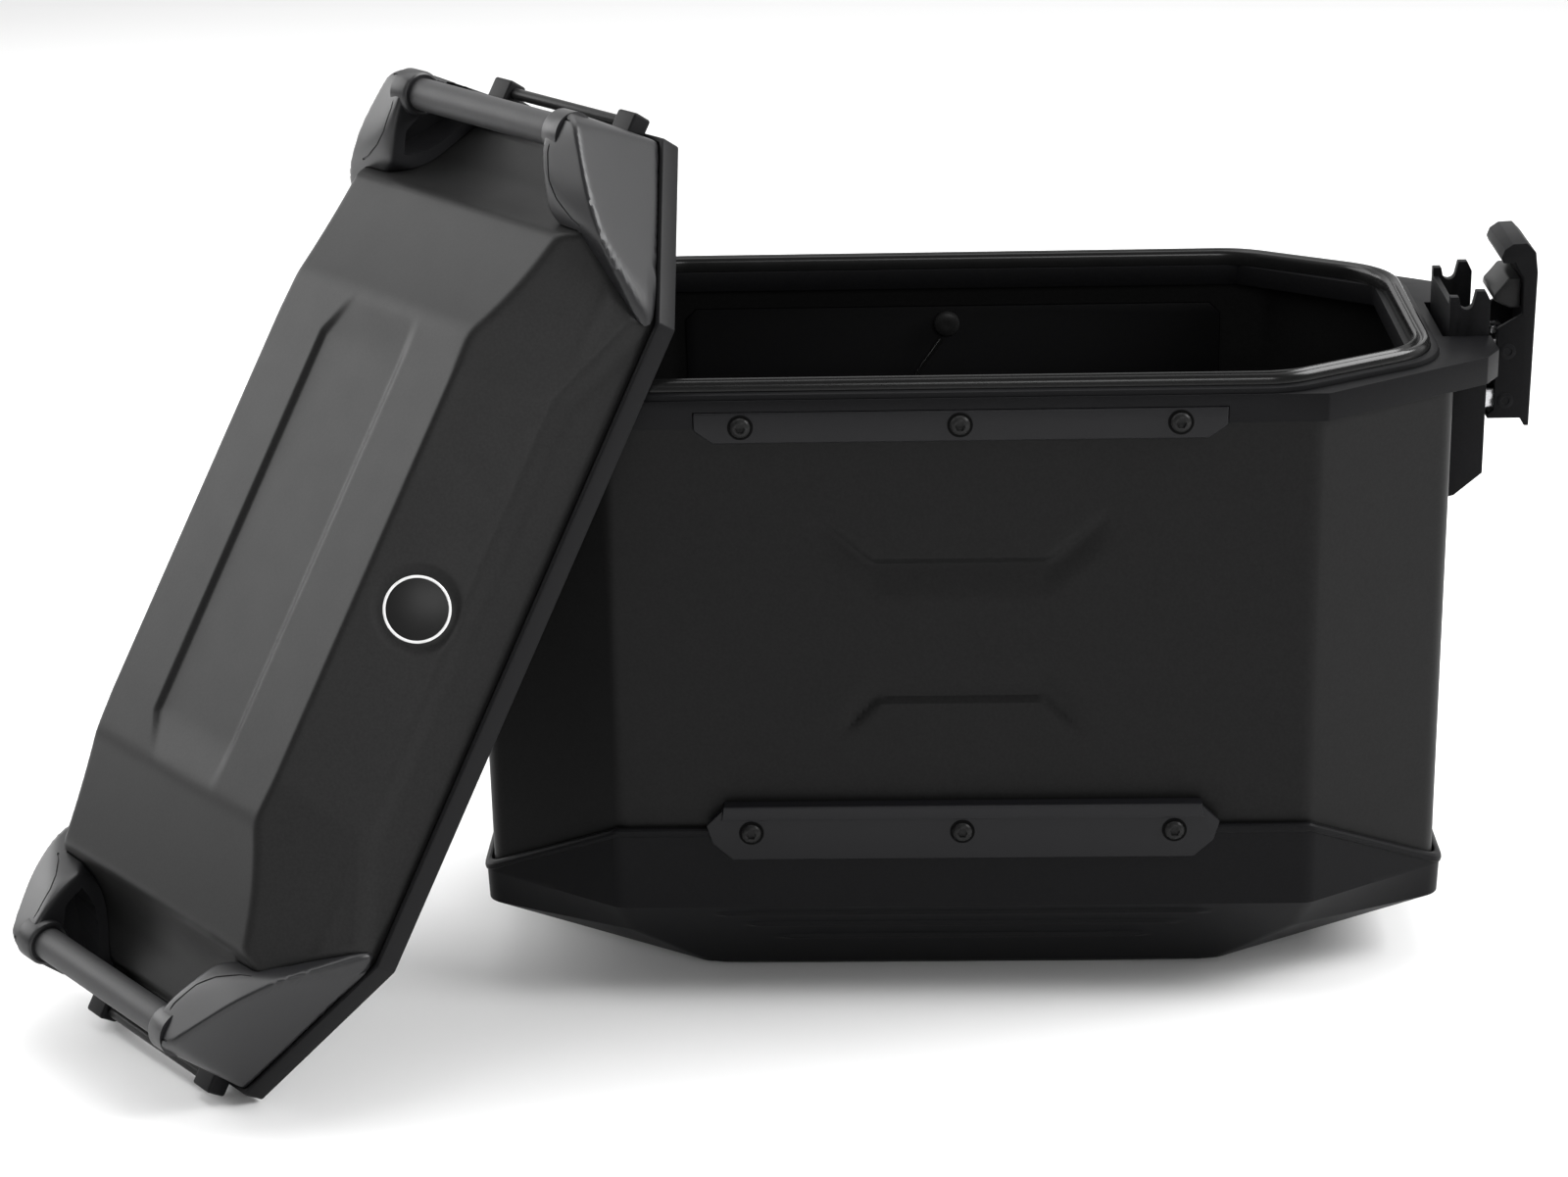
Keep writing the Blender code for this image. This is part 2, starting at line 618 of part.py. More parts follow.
def lid_cheeks():
    """Four corner pieces that rise beside the ends of the bars."""
    base = SKIRT_TOP + GAP
    inner = BAR_HALF + GAP
    shape = [(253.5, inner, base), (253.5, 71, base), (169, 122.6, base), (163, 123.0, base), (200, inner, base),
             (245, inner, 68), (243, 71, 71), (237, 79, 70.5), (228, inner, 71), (210, 96, 62), (186, 111, 46),
             (160, 122.6, 15.5), (212, 68, 66), (200, 82, 60), (192, inner, 56)]
    envelope = even_split(loft("lid_envelope", lid_rings(GAP + 0.5), None, home=CUTTERS))
    for end, sx in (("right", 1), ("left", -1)):
        for face, sy in (("front", -1), ("back", 1)):
            points = [(sx * x, sy * y, z) for x, y, z in shape]
            yield cut(hull(f"lid_cheek_{face}_{end}", points, SATIN_PLASTIC), [envelope])
    yield envelope


def lid_bars():
    """The round lashing bar and the thin keeper pin at each end."""
    for end, sx in (("right", 1), ("left", -1)):
        yield rod(f"lid_bar_{end}", (sx * BAR_X, BAR_Z), BAR_RADIUS, -BAR_HALF, BAR_HALF, "y", DARK_BAR, sides=24)
        yield rod(f"keeper_pin_{end}", (sx * KEEPER_X, KEEPER_Z), KEEPER_RADIUS, -KEEPER_HALF, KEEPER_HALF, "y",
                  STEEL, sides=16)


def lid_badge():
    """A plain round badge on the lid's front slope."""
    low, high = SLOPE_FOOT, SLOPE_HEAD
    along = Vector((0.0, high[1] - low[1], high[2] - low[2])).normalized()
    out = Vector((0.0, -along.z, along.y))
    centre = Vector(low) + along * BADGE_RISE + out * GAP
    centre.x = BADGE_X
    side = Vector((1.0, 0.0, 0.0))
    ring = [centre + side * x + along * z for x, z in circle((0, 0), BADGE_RADIUS, 32)]
    rings = [[tuple(p + out * up) for p in ring] for up in (0.0, 1.4)]
    return loft("lid_badge", rings, WHITE)


def build():
    """Make every piece of the case, then the lid in its leaning place."""
    body_shell()
    bottom_shell()
    rack_plate()
    lower_plate()
    upper_strip()
    screws()
    rim_collar()
    rim_seal()
    inner_liner()
    cord_parts()
    for side in SIDES:
        latch_housing(side)
        base_pins(side)
        links(side)
        lever(side)
        latch_spring(side)
    for piece in (lid_shell(), lid_skirt(), lid_badge(), *lid_cheeks(), *lid_bars()):
        on_lid(piece)


build()
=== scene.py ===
"""Looks of the motorcycle side case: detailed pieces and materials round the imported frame.

Lengths in the tables and functions are millimetres; every mesh is made in metres.
The case uses the row's frame. The lid's pieces use the lid's own frame, where z = 0 is its
lower edge and x runs along it, and LID carries them to where the lid leans.
"""
import json
import math

import bmesh
import bpy
import numpy as np
from mathutils import Euler, Matrix, Vector
from mathutils.bvhtree import BVHTree


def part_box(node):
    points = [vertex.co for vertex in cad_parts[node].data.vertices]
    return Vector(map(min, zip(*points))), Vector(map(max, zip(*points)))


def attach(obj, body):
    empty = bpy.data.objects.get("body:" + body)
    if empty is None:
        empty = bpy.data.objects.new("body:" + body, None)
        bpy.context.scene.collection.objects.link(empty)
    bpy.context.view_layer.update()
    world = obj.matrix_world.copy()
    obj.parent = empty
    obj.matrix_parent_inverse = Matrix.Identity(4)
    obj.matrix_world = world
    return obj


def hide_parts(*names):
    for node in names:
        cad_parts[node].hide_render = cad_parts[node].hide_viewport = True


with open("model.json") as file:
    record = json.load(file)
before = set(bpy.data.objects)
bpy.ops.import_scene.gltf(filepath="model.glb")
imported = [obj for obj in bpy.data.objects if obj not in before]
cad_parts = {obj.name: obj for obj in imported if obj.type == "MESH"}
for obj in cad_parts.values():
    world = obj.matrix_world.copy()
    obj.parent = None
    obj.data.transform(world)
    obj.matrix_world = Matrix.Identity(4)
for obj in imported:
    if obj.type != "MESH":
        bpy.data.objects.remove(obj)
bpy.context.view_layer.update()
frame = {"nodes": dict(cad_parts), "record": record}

MM = 0.001
ENDS = (("right", 1), ("left", -1))
FACES = (("front", -1), ("back", 1))
BODIES = frame["record"]["behaviour"]["bodies"]
BODY_OF = {node: body for body, nodes in BODIES.items() for node in nodes}

# Where the lid leans
LID_PLACE = Matrix.Translation(Vector((-289.4, -85.9, 216.3)) * MM)
LID = LID_PLACE @ Euler((0.028, -0.999, 0.719)).to_matrix().to_4x4()

# Plans as (front half length, half depth, half width, side half length)
BODY = (173.0, 125.5, 245.0, 79.0)
BODY_TOP = 312.0
BODY_FOOT = 57.0
BODY_WALL = 2.0
CORNER = 14.0       # radius of the plans' corners
CORNER_STEPS = 8

# Stamped lines as (height of the middle, rise of the arms, half length of the middle, reach of an arm)
STAMPS = ((237.0, 28.0, 43.0, 32.0), (167.0, -20.0, 41.0, 19.0))
STAMP_DEPTH = 2.6
STAMP_EDGE = 3.5
STAMP_FADE = 20.0

SHELL = (175.0, 129.0, 249.0, 80.5)
SHELL_FRONT_TOP = 98.0
SHELL_SIDE_TOP = 57.0
SHELL_BEND = 54.0
SHELL_WALL = 3.0
KNEE = (170.0, 114.3, 249.0, 78.0)
KNEE_Z = 34.7
TOE = (132.0, 91.0, 146.0, 81.0)
TOE_Z = 4.0
FOOT = (78.0, 84.0, 88.0, 77.0)
# Ribs of the pan's front slope as (height, half length)
RIBS = ((48.0, 128.0), (39.0, 113.0), (28.0, 98.0))
RIB_RISE = 1.7
RIB_HALF = 2.2

SEAL = (158.7, 121.8, 235.4, 74.8)
SEAL_FOOT = 323.3
SEAL_TOP = 331.0
SEAL_CORNER = 45.0
SCREW_RADIUS = 4.9

RACK_SCREW = (92.0, 34.0)

# Cord as (x, distance from the liner, z)
CORD = [(-6, 5, 282.5), (-12, 5, 274), (-20, 5, 262), (-29, 6, 240), (-36, 7, 200), (-40, 9, 150),
        (-42, 13, 100), (-40, 21, 70)]
CORD_RADIUS = 1.25
CORD_STEP = 6.5

# Lid
LID_EDGE = (168.0, 125.0, 255.5, 72.5)
RECESS_HALF = 44.0
RECESS_X = 241.0
LUG = ((239.0, 262.0), (44.0, 58.9), (11.4, 22.4))
LUG_ROUND = 1.6
SKIRT_TOP = 11.7
DOME_INSET = 5.7
DOME_FOOT = 9.4
DOME_WALL = 2.2
CROWN_CAP = 0.12         # share of the plan that the flat cap in the crown's middle takes
CROWN = 75.2
SLOPE_TOP = (76.8, 74.2)
SLOPE_FALL = 1.2085
SLOPE_EDGE = 107.5
EDGE_TURN = 113.5        # where the front slope's lower edge starts to run outward
BAND_RISE = 1.73
# Slopes of the dome's ends as (height, fall per millimetre, x where it has that height)
GENTLE = (75.0, 0.205, 105.0)
DROP = (58.0, 1.64, 188.0)
SHELF = (35.0, 0.515, 202.0)
SKEW = (0.5145, 0.8575)  # direction that the slanted sides of the dome face
SKEW_REACH = 187.9
DOME_END = 236.5
CHANNEL = (-37.0, 36.5)  # front and back edge of the crown's channel
CHANNEL_DEPTH = 2.4

# Corner piece: the points of its outer form, its groove as (x, y), its inner pocket as (x, z)
CHEEK = [(253.5, 59.5, 12), (253.5, 71, 12), (169, 122.6, 12), (163, 123.0, 12), (205, 66, 12),
         (246, 59.5, 66), (244, 70, 70), (238, 79, 71), (228, 59.5, 72), (210, 96, 62), (186, 111, 46),
         (160, 123, 14), (212, 68, 67), (200, 82, 60), (197, 66, 56)]
CHEEK_CENTRE = (220.0, 80.0, 36.0)
CHEEK_SHARPNESS = 30.0
GROOVE = [(239, 74), (240, 68), (235, 65), (222, 66), (210, 70), (203, 76), (197, 86), (195, 92)]
POCKET = [(204, 51), (211, 39), (222, 31), (236, 24), (249, 20), (250, 36), (247, 49), (227, 50),
          (215, 58)]

BAR_X = 234.8
BAR_Z = 60.6
BAR_RADIUS = 8.2
BAR_HALF = 59.2
BADGE = (-4.0, -94.6)
BADGE_RADIUS = 16.3

# Latch
BASE_X = 265.6
LINK = 14.2
UPPER_PIVOT_Z = 312.0
LOWER_PIVOT_Z = 286.0
LEVER_HALF = 23.7


# ---------------------------------------------------------------- materials

def new_material(name, colour, rough, metal=0.0, specular=0.5):
    """A Principled material with its node tree ready for more detail."""
    made = bpy.data.materials.new(name)
    made.use_nodes = True
    shader = made.node_tree.nodes["Principled BSDF"]
    shader.inputs["Base Color"].default_value = (*colour, 1.0)
    shader.inputs["Roughness"].default_value = rough
    shader.inputs["Metallic"].default_value = metal
    shader.inputs["Specular IOR Level"].default_value = specular
    return made


def noise(tree, scale, detail=2.0):
    """A noise texture in object space, where one unit is a metre."""
    where = tree.nodes.new("ShaderNodeTexCoord")
    made = tree.nodes.new("ShaderNodeTexNoise")
    made.inputs["Scale"].default_value = scale
    made.inputs["Detail"].default_value = detail
    tree.links.new(where.outputs["Object"], made.inputs["Vector"])
    return made.outputs["Fac"]


def spread(tree, value, low, high):
    """Map noise from around its middle to low..high."""
    made = tree.nodes.new("ShaderNodeMapRange")
    made.inputs["From Min"].default_value = 0.3
    made.inputs["From Max"].default_value = 0.7
    made.inputs["To Min"].default_value = low
    made.inputs["To Max"].default_value = high
    tree.links.new(value, made.inputs["Value"])
    return made.outputs["Result"]


def grained(material, colour, grain_scale, grain_depth, rough, rough_vary=0.015, tint_vary=0.18, wear=0.0):
    """Add fine grain, drifting colour and roughness, and paler worn edges."""
    tree = material.node_tree
    shader = tree.nodes["Principled BSDF"]
    bump = tree.nodes.new("ShaderNodeBump")
    bump.inputs["Strength"].default_value = 0.6
    bump.inputs["Distance"].default_value = grain_depth * MM
    tree.links.new(noise(tree, grain_scale, 3.0), bump.inputs["Height"])
    tree.links.new(bump.outputs["Normal"], shader.inputs["Normal"])
    drift = noise(tree, 60.0)
    tree.links.new(spread(tree, drift, rough - rough_vary, rough + rough_vary), shader.inputs["Roughness"])
    tint = tree.nodes.new("ShaderNodeMix")
    tint.data_type = "RGBA"
    tint.inputs[6].default_value = (*[c * (1 - tint_vary) for c in colour], 1.0)
    tint.inputs[7].default_value = (*[c * (1 + tint_vary) for c in colour], 1.0)
    tree.links.new(spread(tree, noise(tree, grain_scale * 0.45), 0.0, 1.0), tint.inputs[0])
    out = tint.outputs[2]
    if wear:
        shape = tree.nodes.new("ShaderNodeNewGeometry")
        edge = tree.nodes.new("ShaderNodeMapRange")
        edge.inputs["From Min"].default_value = 0.53
        edge.inputs["From Max"].default_value = 0.62
        edge.inputs["To Max"].default_value = wear
        tree.links.new(shape.outputs["Pointiness"], edge.inputs["Value"])
        worn = tree.nodes.new("ShaderNodeMix")
        worn.data_type = "RGBA"
        worn.inputs[7].default_value = (*[min(1.0, c * 4.0) for c in colour], 1.0)
        tree.links.new(edge.outputs["Result"], worn.inputs[0])
        tree.links.new(out, worn.inputs[6])
        out = worn.outputs[2]
    tree.links.new(out, shader.inputs["Base Color"])
    return material


def powder_coat():
    """Fine matte powder coat on metal."""
    colour = (0.0075, 0.0075, 0.0075)
    made = new_material("powder_coat", colour, 0.46, specular=0.10)
    return grained(made, colour, 1500.0, 0.02, 0.46, wear=0.12)


def lid_coat():
    """The same coat on the formed lid, a little smoother."""
    colour = (0.0105, 0.0105, 0.0105)
    made = new_material("lid_coat", colour, 0.43, specular=0.18)
    return grained(made, colour, 1700.0, 0.016, 0.43, wear=0.1)


def grained_plastic():
    """Finely grained moulding."""
    colour = (0.005, 0.005, 0.0055)
    made = new_material("grained_plastic", colour, 0.42, specular=0.07)
    return grained(made, colour, 1900.0, 0.014, 0.45, wear=0.1)


def satin_plastic():
    """Smoother moulding of the lid's corner pieces."""
    colour = (0.012, 0.012, 0.013)
    made = new_material("satin_plastic", colour, 0.36, specular=0.38)
    return grained(made, colour, 2300.0, 0.008, 0.37, tint_vary=0.1)


def edge_plastic():
    """Duller moulding of the lid's edge frame."""
    colour = (0.006, 0.006, 0.0065)
    made = new_material("edge_plastic", colour, 0.4, specular=0.12)
    return grained(made, colour, 2300.0, 0.008, 0.42, tint_vary=0.1, wear=0.08)


def liner_plastic_painted_shade():
    """Dull lining of the case's inside; its colour is darkened further as painted shade for the inside of
    the case.
    """
    # Colour darkened as painted shade: the inside of the case lies in shadow.
    colour = (0.003, 0.003, 0.0033)
    made = new_material("liner_plastic_painted_shade", colour, 0.5, specular=0.08)
    return grained(made, colour, 1500.0, 0.01, 0.5)


def plate_plastic():
    """The front plates: satin."""
    colour = (0.007, 0.007, 0.008)
    made = new_material("plate_plastic", colour, 0.32, specular=0.17)
    return grained(made, colour, 2300.0, 0.006, 0.34, tint_vary=0.08, wear=0.12)


def bar_coat():
    """Satin coated tube."""
    colour = (0.03, 0.03, 0.031)
    made = new_material("bar_coat", colour, 0.5, specular=0.3)
    return grained(made, colour, 2600.0, 0.008, 0.5, tint_vary=0.1, wear=0.1)


def seal_rubber():
    """Glossy moulded rubber."""
    colour = (0.006, 0.006, 0.006)
    made = new_material("seal_rubber", colour, 0.22, specular=0.3)
    return grained(made, colour, 900.0, 0.004, 0.22, tint_vary=0.1)


def steel(name, colour, rough):
    """Plated steel with fine scratches."""
    made = new_material(name, colour, rough, metal=1.0)
    return grained(made, colour, 3200.0, 0.004, rough, rough_vary=0.07, tint_vary=0.15)


def black_steel():
    """Black plated steel of the screws."""
    colour = (0.012, 0.012, 0.012)
    made = new_material("black_steel", colour, 0.35, specular=0.12)
    return grained(made, colour, 3000.0, 0.005, 0.35, wear=0.2)


def gloss(name, colour, specular):
    """Smooth plastic of the badge."""
    made = new_material(name, colour, 0.3, specular=specular)
    return grained(made, colour, 700.0, 0.002, 0.3, tint_vary=0.04)


def deep_shadow():
    """Painted shadow: dull black put where a recess lies in shade."""
    colour = (0.002, 0.002, 0.002)
    made = new_material("deep_shadow", colour, 0.7, specular=0.05)
    return grained(made, colour, 900.0, 0.004, 0.7)


def floor_paint():
    """Pale seamless floor."""
    made = new_material("floor_paint", (0.86, 0.86, 0.86), 0.9, specular=0.0)
    return made


COAT = powder_coat()
LID_COAT = lid_coat()
PLASTIC = grained_plastic()
SATIN = satin_plastic()
EDGE = edge_plastic()
# Liner material whose colour is darkened as painted shade for the inside of the case.
LINER_PAINTED_SHADE = liner_plastic_painted_shade()
PLATE = plate_plastic()
BAR = bar_coat()
RUBBER = seal_rubber()
STEEL = steel("plated_steel", (0.5, 0.5, 0.51), 0.28)
BLACK_STEEL = black_steel()
SHADOW = deep_shadow()
BADGE_DARK = gloss("badge_dark", (0.01, 0.01, 0.01), 0.15)
BADGE_PALE = gloss("badge_pale", (0.72, 0.72, 0.72), 0.4)


# ---------------------------------------------------------------- mesh helpers

def octagon(plan, grow=0.0):
    """Eight corners of an octagonal plan, moved outward by grow along every side."""
    front, depth, width, side = plan
    run, drop = width - front, depth - side
    slope = math.hypot(run, drop)
    nx, ny = drop / slope, run / slope
    reach = front * nx + depth * ny + grow
    depth += grow
    width += grow
    front = (reach - depth * ny) / nx
    side = (reach - width * nx) / ny
    quarter = [(front, depth), (width, side)]
    return turned(quarter)


def turned(quarter):
    """Corners of the whole outline from those of its right back quarter."""
    right_front = [(x, -y) for x, y in reversed(quarter)]
    left_front = [(-x, -y) for x, y in quarter]
    left_back = [(-x, y) for x, y in reversed(quarter)]
    return quarter + right_front + left_front + left_back


def rounded(corners, radius, steps):
    """Round every corner of an outline with an arc of the given steps."""
    out = []
    count = len(corners)
    for i, corner in enumerate(corners):
        here = Vector(corner)
        back = Vector(corners[i - 1]) - here
        ahead = Vector(corners[(i + 1) % count]) - here
        turn = math.pi - back.angle(ahead)
        reach = min(radius * math.tan(turn / 2), 0.45 * back.length, 0.45 * ahead.length)
        start, end = here + back.normalized() * reach, here + ahead.normalized() * reach
        for k in range(steps + 1):
            t = k / steps
            out.append(tuple(start.lerp(here, t).lerp(here.lerp(end, t), t)))
    return out


def filled(outline, spacing):
    """Add points along the long sides of an outline, at most spacing apart."""
    out = []
    for i, start in enumerate(outline):
        end = outline[(i + 1) % len(outline)]
        steps = max(1, round(math.dist(start, end) / spacing))
        out += [tuple(Vector(start).lerp(Vector(end), k / steps)) for k in range(steps)]
    return out


def plan_ring(plan, z, radius, steps, grow):
    """A rounded octagon at one height."""
    return [(x, y, z) for x, y in rounded(octagon(plan, grow), radius, steps)]


def loft(rings, closed_loop=False, caps=True):
    """Skin rings with equal point counts into a bmesh in metres."""
    made = bmesh.new()
    rows = [[made.verts.new((p[0] * MM, p[1] * MM, p[2] * MM)) for p in ring] for ring in rings]
    pairs = list(zip(rows, rows[1:]))
    if closed_loop:
        pairs.append((rows[-1], rows[0]))
    for low, high in pairs:
        for i in range(len(low)):
            j = (i + 1) % len(low)
            made.faces.new((low[i], low[j], high[j], high[i]))
    if caps and not closed_loop:
        made.faces.new(rows[0])
        made.faces.new(rows[-1])
    return made


def lathe(profile, centre, toward, sides=48, corners=None):
    """Turn (radius, height) points about an axis through centre, pointing along toward."""
    spin = Vector((0, 0, 1)).rotation_difference(Vector(toward))
    rings = []
    for radius, height in profile:
        ring = []
        for k in range(sides):
            angle = 2 * math.pi * k / sides
            reach = max(radius, 0.01)
            if corners and radius < corners[1]:
                part = (angle % (2 * math.pi / corners[0])) - math.pi / corners[0]
                reach = radius * math.cos(math.pi / corners[0]) / math.cos(part)
            point = spin @ Vector((reach * math.cos(angle), reach * math.sin(angle), height))
            ring.append(tuple(point + Vector(centre)))
        rings.append(ring)
    return loft(rings)


def to_piece(name, made, look, body, nodes=(), place=None, sharp=32.0):
    """Turn a bmesh into a shaded piece that rides on a body and stands for CAD nodes."""
    bmesh.ops.recalc_face_normals(made, faces=made.faces)
    mesh = bpy.data.meshes.new(name)
    made.to_mesh(mesh)
    made.free()
    if place is not None:
        mesh.transform(place)
    piece = bpy.data.objects.new(name, mesh)
    bpy.context.scene.collection.objects.link(piece)
    return dress(piece, look, body, nodes, sharp)


def dress(piece, look, body, nodes=(), sharp=32.0):
    piece.data.shade_smooth()
    piece.data.set_sharp_from_angle(angle=math.radians(sharp))
    piece.data.materials.append(look)
    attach(piece, body)
    if nodes:
        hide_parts(*nodes)
    return piece


def tool(made, place=None):
    """A temporary object for a Boolean."""
    bmesh.ops.recalc_face_normals(made, faces=made.faces)
    mesh = bpy.data.meshes.new("tool")
    made.to_mesh(mesh)
    made.free()
    if place is not None:
        mesh.transform(place)
    thing = bpy.data.objects.new("tool", mesh)
    bpy.context.scene.collection.objects.link(thing)
    return thing


def carve(made, tools, kind="DIFFERENCE"):
    """Return the bmesh with the tools cut out of it, and remove the tools."""
    block = tool(made)
    for thing in tools:
        step = block.modifiers.new("cut", "BOOLEAN")
        step.object = thing
        step.operation = kind
        step.solver = "EXACT"
    graph = bpy.context.evaluated_depsgraph_get()
    result = bmesh.new()
    result.from_mesh(bpy.data.meshes.new_from_object(block.evaluated_get(graph)))
    for thing in [block, *tools]:
        bpy.data.objects.remove(thing, do_unlink=True)
    return result


def refined(node, width, look, segments=3, angle=28.0):
    """The CAD piece again with its edges rounded over by width."""
    source = frame["nodes"][node]
    made = bmesh.new()
    made.from_mesh(source.data)
    bmesh.ops.remove_doubles(made, verts=made.verts, dist=2e-6)
    bmesh.ops.dissolve_limit(made, angle_limit=math.radians(1.5), verts=made.verts, edges=made.edges)
    limit = math.radians(angle)
    edges = [e for e in made.edges if len(e.link_faces) == 2 and e.calc_face_angle(0.0) > limit]
    bmesh.ops.bevel(made, geom=edges, offset=width * MM, segments=segments, profile=0.5,
                    affect="EDGES", clamp_overlap=True)
    return to_piece(node + "_detail", made, look, BODY_OF[node], [node])


def smooth_min(a, b, blend):
    """The smaller of two fields, with a soft corner blend wide."""
    mix = np.clip(0.5 + 0.5 * (b - a) / blend, 0.0, 1.0)
    return b * (1 - mix) + a * mix - blend * mix * (1 - mix)


def smooth_max(a, b, blend):
    """The larger of two fields, with a soft corner blend wide."""
    return -smooth_min(-a, -b, blend)


def ease(value):
    """Zero to one with level ends."""
    t = np.clip(value, 0.0, 1.0)
    return t * t * (3 - 2 * t)


# ---------------------------------------------------------------- case

def stamped(x, z):
    """Depth of the two stamped lines on the front wall: a flat middle with arms that fade out."""
    total = np.zeros_like(x)
    for level, rise, half, reach in STAMPS:
        arm = np.clip((np.abs(x) - half) / reach, 0.0, 1.4)
        line = level + rise * arm
        way = (z - line) * math.copysign(1.0, rise)
        fade = 1 - ease((np.abs(x) - half - 0.5 * reach) / (0.6 * reach))
        across = ease(1 - way / STAMP_EDGE) * ease((way + STAMP_FADE) / STAMP_FADE)
        total = total + STAMP_DEPTH * across * fade
    return total


def case_body():
    """The folded wall, with the stamped lines in its front."""
    inner = like(BODY, -BODY_WALL, 0.0)
    outer = like(BODY, 0.0, 0.0)
    levels = [BODY_FOOT, 100.0, *np.arange(130.0, 286.0, 1.6), 300.0, BODY_TOP]
    plan = np.array(outer)
    front = plan[:, 1] < 0.1 - BODY[1]
    rings = []
    for z in levels:
        depth = stamped(plan[:, 0], z) * front
        rings.append([(x, y + d, z) for (x, y, _), d in zip(outer, depth)])
    for z in reversed(levels):
        depth = stamped(plan[:, 0], z) * front
        rings.append([(x, y + d, z) for (x, y, _), d in zip(inner, depth)])
    wall = loft(rings, closed_loop=True)
    to_piece("case_body", wall, COAT, "case", ["body_shell"])


def like(plan, grow, z):
    """Points round a rounded octagon; every plan gets the same number, and they match one by one."""
    source = rounded(octagon(BODY), CORNER, CORNER_STEPS)
    target = rounded(octagon(plan, grow), CORNER, CORNER_STEPS)
    out = []
    for i, start in enumerate(source):
        steps = max(1, round(math.dist(start, source[(i + 1) % len(source)]) / 3.0))
        a, b = Vector(target[i]), Vector(target[(i + 1) % len(target)])
        out += [(*a.lerp(b, k / steps), z) for k in range(steps)]
    return out


def blend_rings(low, high, share):
    """A ring between two others."""
    return [tuple(Vector(a).lerp(Vector(b), share)) for a, b in zip(low, high)]


def shell_rim(grow, lift):
    """The pan's top edge, high along the front and back and low at the ends."""
    run = SHELL[2] - SHELL[0]
    out = []
    for x, y, _ in like(SHELL, grow, 0.0):
        share = max(0.0, min(1.0, (abs(x) - SHELL[0]) / run))
        out.append((x, y, SHELL_FRONT_TOP - (SHELL_FRONT_TOP - SHELL_SIDE_TOP) * share + lift))
    return out


def bottom_pan():
    """The moulded pan with three ribs on its front slope and a rolled top edge."""
    toe, knee = like(TOE, 0.0, TOE_Z), like(KNEE, 0.0, KNEE_Z)
    bend = like(SHELL, 0.0, SHELL_BEND)
    foot = like(FOOT, 0.0, 0.0)
    rings = [foot, blend_rings(foot, toe, 0.9), blend_rings(toe, knee, 0.04)]
    rings += [blend_rings(toe, knee, k / 32) for k in range(1, 32)]
    rings += [blend_rings(knee, bend, k / 24) for k in range(25)]
    rings = [ribbed(ring) for ring in rings]
    rim = shell_rim(0.0, -5.0)
    rings += [blend_rings(bend, rim, k / 6) for k in range(1, 6)]
    rings += [shell_rim(0.0, -4.6), shell_rim(0.7, -3.6), shell_rim(1.0, -2.3), shell_rim(0.8, -1.0)]
    rings += [shell_rim(0.0, -0.2), shell_rim(-1.2, 0.0), shell_rim(-2.3, -0.4)]
    inner = [shell_rim(-SHELL_WALL, -1.5), like(SHELL, -SHELL_WALL, SHELL_BEND),
             like(KNEE, -SHELL_WALL, 37.5), like(TOE, -SHELL_WALL, 7.2),
             like(FOOT, -SHELL_WALL, 3.0)]
    made = loft(rings + inner)
    to_piece("bottom_pan", made, PLASTIC, "case", ["bottom_shell"], sharp=24.0)


def ribbed(ring):
    """Push a ring outward where the front slope's three ribs cross it."""
    out = []
    for x, y, z in ring:
        push = 0.0
        if y < -85.0:
            for level, half in RIBS:
                across = float(ease(1 - abs(z - level) / RIB_HALF))
                along = float(ease((half - abs(x)) / 10.0))
                push += RIB_RISE * across * along
        out.append((x, y - push, z - 0.3 * push))
    return out


def seal():
    """The double-lipped seal round the opening."""
    profile = [(0.0, SEAL_FOOT), (0.4, 325.0), (0.0, 328.6), (-0.6, 330.2), (-1.7, SEAL_TOP),
               (-2.8, 330.4), (-3.4, 328.9), (-4.1, 328.5), (-4.8, 328.9), (-5.4, 330.4),
               (-6.4, SEAL_TOP), (-7.5, 330.2), (-8.1, 328.4), (-8.2, SEAL_FOOT)]
    rings = [plan_ring(SEAL, z, SEAL_CORNER, 10, grow) for grow, z in profile]
    lips = loft(rings, closed_loop=True)
    to_piece("seal_lips", lips, RUBBER, "case", ["rim_seal"], sharp=60.0)


def collar():
    """The collar with rounded edges and the raised ledge that carries the seal."""
    refined("rim_collar", 1.3, PLASTIC)
    profile = [(12.0, 323.1), (9.0, 323.6), (4.0, 325.4), (2.0, 326.0), (0.6, 325.9), (0.6, 323.05)]
    rings = [plan_ring(SEAL, z, SEAL_CORNER, 10, min(grow, 4.6)) for grow, z in profile]
    ledge = loft(rings, closed_loop=True)
    to_piece("seal_ledge", ledge, PLASTIC, "case")


def screw(node):
    """A button head with a six-sided socket, and a thin black ring round its foot as painted shadow."""
    low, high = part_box(node)
    centre = [(low[i] + high[i]) / 2 / MM for i in range(3)]
    profile = [(SCREW_RADIUS, 0.0), (SCREW_RADIUS, 0.7), (4.5, 1.3), (3.8, 1.9), (3.0, 2.25),
               (2.75, 2.3), (2.55, 2.1), (2.5, 0.7), (1.5, 0.35)]
    made = lathe(profile, (centre[0], high[1] / MM, centre[2]), (0, -1, 0), corners=(6, 2.6))
    to_piece(node + "_head", made, BLACK_STEEL, "case", [node])
    # Thin black ring round the head's foot: painted shadow, not a part of the screw.
    ring = [(6.2, -0.2), (6.2, 0.12), (5.9, 0.22), (4.2, 0.22), (4.2, -0.2)]
    made = lathe(ring, (centre[0], high[1] / MM, centre[2]), (0, -1, 0))
    to_piece(node + "_shadow_ring", made, SHADOW, "case")


def front_plates():
    """The two front plates with their six screws."""
    refined("upper_strip", 0.7, PLATE)
    refined("lower_plate", 0.9, PLATE)
    for row in ("upper", "lower"):
        for number in (1, 2, 3):
            screw(f"{row}_screw_{number}")


